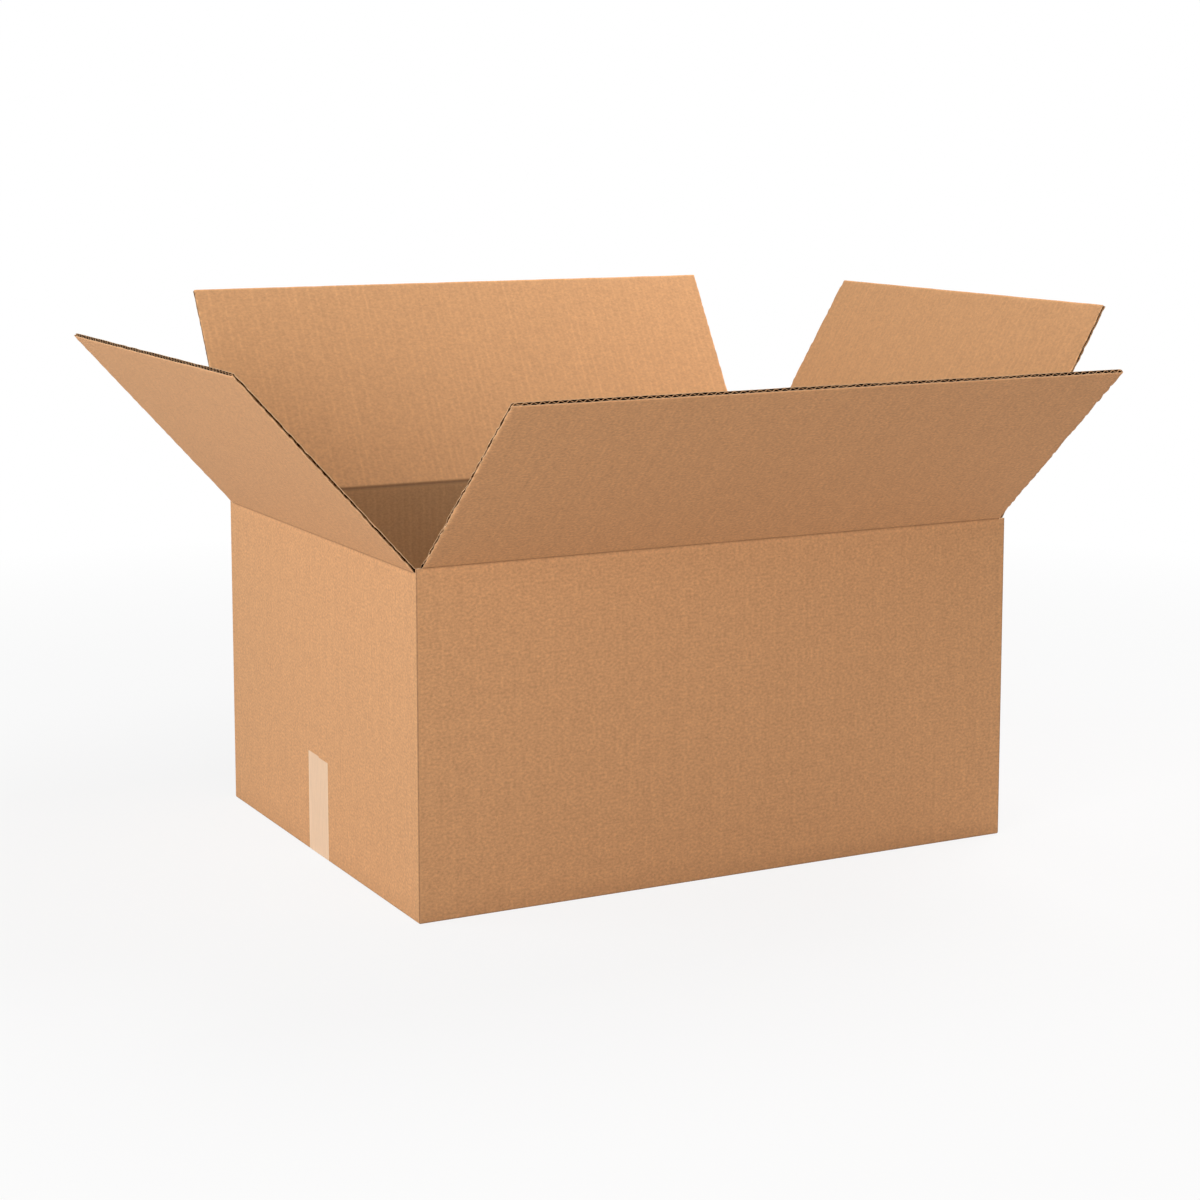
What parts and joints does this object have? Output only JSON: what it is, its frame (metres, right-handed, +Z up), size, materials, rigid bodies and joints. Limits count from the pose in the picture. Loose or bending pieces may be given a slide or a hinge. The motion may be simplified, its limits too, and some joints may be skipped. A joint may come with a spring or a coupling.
{
  "type": "open cardboard box",
  "caption": "Open corrugated cardboard shipping box with creased top flaps that swing, standing flared, and a taped bottom.",
  "frame": {"origin": "the middle of the base's underside, where the box stands on a floor", "axes": "+Z up, X along the long front and back panels with the taped end that the picture shows at -X, Y from the front panel to the back panel"},
  "size_m": [0.8782, 0.7611, 0.5063],
  "materials": {
    "kraft_board": "matte",
    "packing_tape": "satin"
  },
  "bodies": {
    "carton": {"carton_body": "kraft_board", "bottom_tape": "packing_tape"},
    "front_flap": {"front_flap": "kraft_board"},
    "back_flap": {"back_flap": "kraft_board"},
    "left_flap": {"left_flap": "kraft_board"},
    "right_flap": {"right_flap": "kraft_board"}
  },
  "joints": [
    {"name": "front_flap_crease", "type": "hinge", "parent": "carton", "child": "front_flap", "pos_m": [0, -0.233, 0.306], "axis": [1, 0, 0], "range_deg": [-138.8, 123.2]},
    {"name": "back_flap_crease", "type": "hinge", "parent": "carton", "child": "back_flap", "pos_m": [0, 0.233, 0.306], "axis": [-1, 0, 0], "range_deg": [-121.3, 140.7]},
    {"name": "left_flap_crease", "type": "hinge", "parent": "carton", "child": "left_flap", "pos_m": [-0.302, 0, 0.3018], "axis": [0, -1, 0], "range_deg": [-132.2, 129.8]},
    {"name": "right_flap_crease", "type": "hinge", "parent": "carton", "child": "right_flap", "pos_m": [0.302, 0, 0.3018], "axis": [0, 1, 0], "range_deg": [-120.7, 141.3]}
  ]
}
